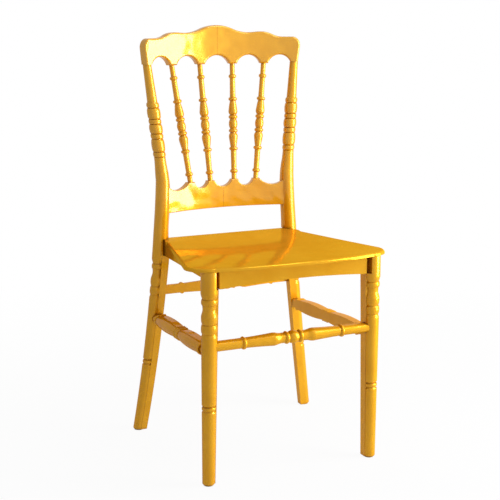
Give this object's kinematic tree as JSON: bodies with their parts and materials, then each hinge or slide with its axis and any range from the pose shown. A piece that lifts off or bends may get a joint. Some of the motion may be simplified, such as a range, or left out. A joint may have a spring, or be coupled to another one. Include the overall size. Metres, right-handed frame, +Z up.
{
  "type": "banquet chair",
  "caption": "Gold moulded banquet chair with turned-look legs, bowed waved crest, scalloped lower rail, beaded spindles and a dished seat, for events and dining.",
  "frame": {"origin": "on the floor under the middle of the chair's bounding box", "axes": "+Z up, -Y towards the front of the seat, +X to the right as seen from the front"},
  "size_m": [0.4456, 0.4424, 0.9],
  "materials": {
    "gold_resin": "gloss",
    "glide_plastic": "matte",
    "bolt_steel": "satin",
    "insert_brass": "satin"
  },
  "bodies": {
    "root": {"seat_shell": "gold_resin", "front_leg_left": "gold_resin", "front_leg_right": "gold_resin", "rear_post_left": "gold_resin", "rear_post_right": "gold_resin", "crest_rail": "gold_resin", "lower_back_rail": "gold_resin", "back_spindle_1": "gold_resin", "back_spindle_2": "gold_resin", "back_spindle_3": "gold_resin", "back_spindle_4": "gold_resin", "front_stretcher": "gold_resin", "rear_stretcher": "gold_resin", "side_stretcher_left": "gold_resin", "side_stretcher_right": "gold_resin", "foot_glide_front_left": "glide_plastic", "foot_glide_front_right": "glide_plastic", "foot_glide_rear_left": "glide_plastic", "foot_glide_rear_right": "glide_plastic", "seat_bolts": "bolt_steel", "seat_bolt_washers": "bolt_steel", "threaded_inserts": "insert_brass", "crest_screws": "bolt_steel"}
  },
  "joints": []
}
